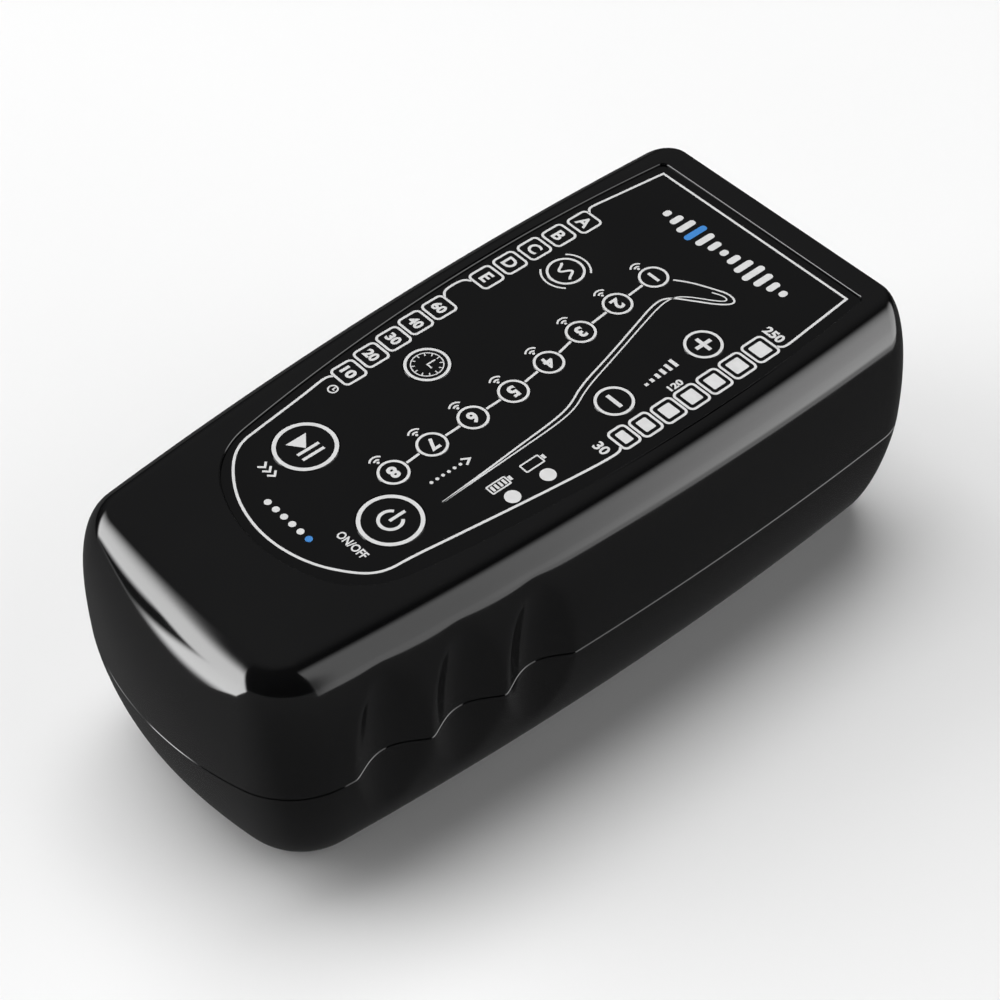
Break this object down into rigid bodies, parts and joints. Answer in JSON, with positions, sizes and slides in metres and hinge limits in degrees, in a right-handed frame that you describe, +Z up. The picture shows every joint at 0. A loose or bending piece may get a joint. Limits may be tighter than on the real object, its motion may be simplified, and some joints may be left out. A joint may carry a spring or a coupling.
{
  "type": "compression therapy pump",
  "caption": "Air compression therapy pump: glossy black casing with finger scallops, a press-key panel on top, and hose nozzles at the rear over a diaphragm pump and valves.",
  "frame": {"origin": "centre of the footprint, on the surface that the feet stand on", "axes": "+X to the user's right, +Y from the rounded user's end to the square hose end, +Z up"},
  "size_m": [0.1216, 0.249, 0.09],
  "materials": {
    "casing": "high gloss",
    "panel": "high gloss, printed",
    "circuit_board": "satin",
    "black_plastic": "satin",
    "light_guide": "frosted",
    "steel": "plain",
    "battery_cell": "shrink wrap",
    "magnet": "plain",
    "copper": "enamelled wire",
    "pale_plastic": "satin",
    "rubber": "matt",
    "silicone": "translucent",
    "foam": "open cell foam"
  },
  "bodies": {
    "casing": {"upper_casing": "casing", "lower_casing": "casing", "key_panel": "panel", "control_board": "circuit_board", "key_switches": "black_plastic", "indicator_leds": "light_guide", "mode_light_guides": "light_guide", "time_light_guides": "light_guide", "pressure_light_guides": "light_guide", "battery_light_guides": "light_guide", "board_screws": "steel", "battery_cells": "battery_cell", "battery_holder": "black_plastic", "pump_motor": "steel", "motor_end_cap": "black_plastic", "motor_magnets": "magnet", "pump_crankcase": "black_plastic", "pump_diaphragms": "rubber", "pump_valve_plate": "pale_plastic", "pump_head": "black_plastic", "pump_screws": "steel", "pump_cradle": "rubber", "pump_tube": "silicone", "valve_manifold": "pale_plastic", "solenoid_valves": "black_plastic", "pressure_sensor": "black_plastic", "hose_socket": "black_plastic", "hose_nozzles": "pale_plastic", "charge_jack": "black_plastic", "charge_pin": "steel", "power_board": "circuit_board", "intake_filter": "foam", "casing_screws": "steel", "rubber_feet": "rubber"},
    "power_key": {"power_key": "panel"},
    "start_key": {"start_key": "panel"},
    "time_key": {"time_key": "panel"},
    "mode_key": {"mode_key": "panel"},
    "pressure_up_key": {"pressure_up_key": "panel"},
    "pressure_down_key": {"pressure_down_key": "panel"},
    "channel_1_key": {"channel_1_key": "panel"},
    "channel_2_key": {"channel_2_key": "panel"},
    "channel_3_key": {"channel_3_key": "panel"},
    "channel_4_key": {"channel_4_key": "panel"},
    "channel_5_key": {"channel_5_key": "panel"},
    "channel_6_key": {"channel_6_key": "panel"},
    "channel_7_key": {"channel_7_key": "panel"},
    "channel_8_key": {"channel_8_key": "panel"},
    "pump_rotor": {"motor_shaft": "steel", "motor_rotor": "copper", "drive_eccentric": "pale_plastic"},
    "wobble_plate": {"wobble_plate": "pale_plastic"},
    "valve_plunger_1": {"valve_plunger_1": "steel"},
    "valve_plunger_2": {"valve_plunger_2": "steel"},
    "valve_plunger_3": {"valve_plunger_3": "steel"},
    "valve_plunger_4": {"valve_plunger_4": "steel"},
    "valve_plunger_5": {"valve_plunger_5": "steel"},
    "valve_plunger_6": {"valve_plunger_6": "steel"},
    "valve_plunger_7": {"valve_plunger_7": "steel"},
    "valve_plunger_8": {"valve_plunger_8": "steel"}
  },
  "joints": [
    {"name": "power_key_press", "type": "slide", "parent": "casing", "child": "power_key", "axis": [0, 0, -1], "range_m": [0, 0.0004], "stiffness_N_per_m": 3000},
    {"name": "start_key_press", "type": "slide", "parent": "casing", "child": "start_key", "axis": [0, 0, -1], "range_m": [0, 0.0004], "stiffness_N_per_m": 3000},
    {"name": "time_key_press", "type": "slide", "parent": "casing", "child": "time_key", "axis": [0, 0, -1], "range_m": [0, 0.0004], "stiffness_N_per_m": 3000},
    {"name": "mode_key_press", "type": "slide", "parent": "casing", "child": "mode_key", "axis": [0, 0, -1], "range_m": [0, 0.0004], "stiffness_N_per_m": 3000},
    {"name": "pressure_up_key_press", "type": "slide", "parent": "casing", "child": "pressure_up_key", "axis": [0, 0, -1], "range_m": [0, 0.0004], "stiffness_N_per_m": 3000},
    {"name": "pressure_down_key_press", "type": "slide", "parent": "casing", "child": "pressure_down_key", "axis": [0, 0, -1], "range_m": [0, 0.0004], "stiffness_N_per_m": 3000},
    {"name": "channel_1_key_press", "type": "slide", "parent": "casing", "child": "channel_1_key", "axis": [0, 0, -1], "range_m": [0, 0.0004], "stiffness_N_per_m": 3000},
    {"name": "channel_2_key_press", "type": "slide", "parent": "casing", "child": "channel_2_key", "axis": [0, 0, -1], "range_m": [0, 0.0004], "stiffness_N_per_m": 3000},
    {"name": "channel_3_key_press", "type": "slide", "parent": "casing", "child": "channel_3_key", "axis": [0, 0, -1], "range_m": [0, 0.0004], "stiffness_N_per_m": 3000},
    {"name": "channel_4_key_press", "type": "slide", "parent": "casing", "child": "channel_4_key", "axis": [0, 0, -1], "range_m": [0, 0.0004], "stiffness_N_per_m": 3000},
    {"name": "channel_5_key_press", "type": "slide", "parent": "casing", "child": "channel_5_key", "axis": [0, 0, -1], "range_m": [0, 0.0004], "stiffness_N_per_m": 3000},
    {"name": "channel_6_key_press", "type": "slide", "parent": "casing", "child": "channel_6_key", "axis": [0, 0, -1], "range_m": [0, 0.0004], "stiffness_N_per_m": 3000},
    {"name": "channel_7_key_press", "type": "slide", "parent": "casing", "child": "channel_7_key", "axis": [0, 0, -1], "range_m": [0, 0.0004], "stiffness_N_per_m": 3000},
    {"name": "channel_8_key_press", "type": "slide", "parent": "casing", "child": "channel_8_key", "axis": [0, 0, -1], "range_m": [0, 0.0004], "stiffness_N_per_m": 3000},
    {"name": "motor_spin", "type": "hinge", "parent": "casing", "child": "pump_rotor", "pos_m": [0, 0.009, 0.03], "axis": [0, 1, 0], "continuous": true},
    {"name": "wobble_tilt", "type": "hinge", "parent": "casing", "child": "wobble_plate", "pos_m": [0, -0.006, 0.03], "axis": [1, 0, 0], "range_deg": [-3, 3], "stiffness_Nm_per_rad": 0.5},
    {"name": "valve_plunger_1_lift", "type": "slide", "parent": "casing", "child": "valve_plunger_1", "axis": [0, -1, 0], "range_m": [0, 0.001], "stiffness_N_per_m": 300, "springref_m": -0.002},
    {"name": "valve_plunger_2_lift", "type": "slide", "parent": "casing", "child": "valve_plunger_2", "axis": [0, -1, 0], "range_m": [0, 0.001], "stiffness_N_per_m": 300, "springref_m": -0.002},
    {"name": "valve_plunger_3_lift", "type": "slide", "parent": "casing", "child": "valve_plunger_3", "axis": [0, -1, 0], "range_m": [0, 0.001], "stiffness_N_per_m": 300, "springref_m": -0.002},
    {"name": "valve_plunger_4_lift", "type": "slide", "parent": "casing", "child": "valve_plunger_4", "axis": [0, -1, 0], "range_m": [0, 0.001], "stiffness_N_per_m": 300, "springref_m": -0.002},
    {"name": "valve_plunger_5_lift", "type": "slide", "parent": "casing", "child": "valve_plunger_5", "axis": [0, -1, 0], "range_m": [0, 0.001], "stiffness_N_per_m": 300, "springref_m": -0.002},
    {"name": "valve_plunger_6_lift", "type": "slide", "parent": "casing", "child": "valve_plunger_6", "axis": [0, -1, 0], "range_m": [0, 0.001], "stiffness_N_per_m": 300, "springref_m": -0.002},
    {"name": "valve_plunger_7_lift", "type": "slide", "parent": "casing", "child": "valve_plunger_7", "axis": [0, -1, 0], "range_m": [0, 0.001], "stiffness_N_per_m": 300, "springref_m": -0.002},
    {"name": "valve_plunger_8_lift", "type": "slide", "parent": "casing", "child": "valve_plunger_8", "axis": [0, -1, 0], "range_m": [0, 0.001], "stiffness_N_per_m": 300, "springref_m": -0.002}
  ]
}
